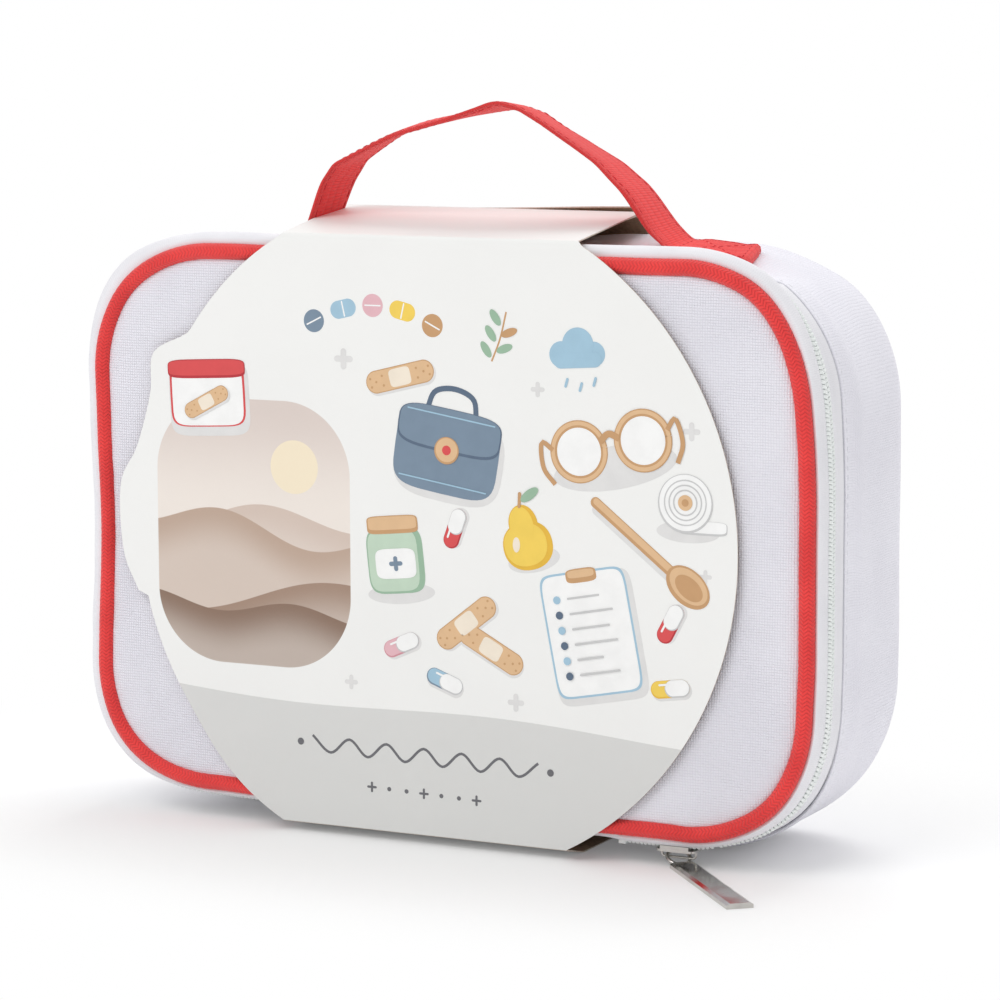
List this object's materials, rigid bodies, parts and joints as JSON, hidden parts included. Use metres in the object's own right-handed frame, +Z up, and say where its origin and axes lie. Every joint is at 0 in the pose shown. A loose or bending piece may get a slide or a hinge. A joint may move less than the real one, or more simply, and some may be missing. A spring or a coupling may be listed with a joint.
{
  "type": "toy doctor case",
  "caption": "Soft zip-up toy doctor case with red piping, a webbing strap handle, a long zip puller and a card sleeve round its middle.",
  "frame": {"origin": "on the flat underside of the sleeve's bottom panel, midway across the case's width and depth", "axes": "+X to the right seen from the front, +Y from the front to the back, +Z up"},
  "size_m": [0.274, 0.1212, 0.2442],
  "materials": {
    "white_canvas": "matt plain-weave polyester canvas",
    "foam": "soft sheet foam",
    "lining": "thin woven lining",
    "binding": "woven binding tape",
    "stiffening_board": "plain sheet",
    "red_piping": "herringbone covered cord",
    "zip_tape": "knitted polyester tape",
    "zip_coil": "semi-gloss nylon coil",
    "chrome": "polished plating",
    "red_webbing": "folded canvas webbing with stitched edges",
    "printed_card": "matt coated white card, raw inside"
  },
  "bodies": {
    "root": {"back_panel_board": "stiffening_board", "back_panel_canvas": "white_canvas", "back_panel_foam": "foam", "back_panel_lining": "lining", "back_seam_binding": "binding", "body_zip_coil": "zip_coil", "body_zip_tape": "zip_tape", "handle_backing": "stiffening_board", "handle_patch_left": "red_webbing", "handle_patch_right": "red_webbing", "hinge_strip": "white_canvas", "rim_binding": "binding", "side_band_canvas": "white_canvas", "side_band_foam": "foam", "side_band_lining": "lining", "sleeve_back": "printed_card", "sleeve_bottom": "printed_card", "strap_root_left": "red_webbing", "strap_root_right": "red_webbing", "zip_end_stops": "zip_coil"},
    "lid": {"front_panel_canvas": "white_canvas", "front_panel_foam": "foam", "front_panel_board": "stiffening_board", "front_panel_lining": "lining", "lid_seam_binding": "binding", "front_piping": "red_piping", "lid_zip_tape": "zip_tape", "lid_zip_coil": "zip_coil", "lid_zip_run": "zip_tape", "sleeve_front": "printed_card", "sleeve_top": "printed_card"},
    "handle": {"handle_strap": "red_webbing"},
    "slider": {"zip_slider": "chrome", "slider_crown": "chrome"},
    "puller": {"zip_puller": "chrome"}
  },
  "joints": [
    {"name": "lid_hinge", "type": "hinge", "parent": "root", "child": "lid", "pos_m": [0, -0.04325, 0.0034], "axis": [1, 0, 0], "range_deg": [0, 90], "deforming": ["lid_zip_run", "hinge_strip"]},
    {"name": "handle_tilt", "type": "hinge", "parent": "root", "child": "handle", "pos_m": [0, 0, 0.2032], "axis": [1, 0, 0], "range_deg": [-25, 30], "deforming": ["strap_root_left", "strap_root_right"]},
    {"name": "slider_slide", "type": "slide", "parent": "root", "child": "slider", "axis": [1, 0, 0], "range_m": [-0.008, 0]},
    {"name": "puller_swing", "type": "hinge", "parent": "slider", "child": "puller", "pos_m": [0.083, -0.032, 0.0024], "axis": [0, 0, 1], "range_deg": [0, 45]}
  ]
}
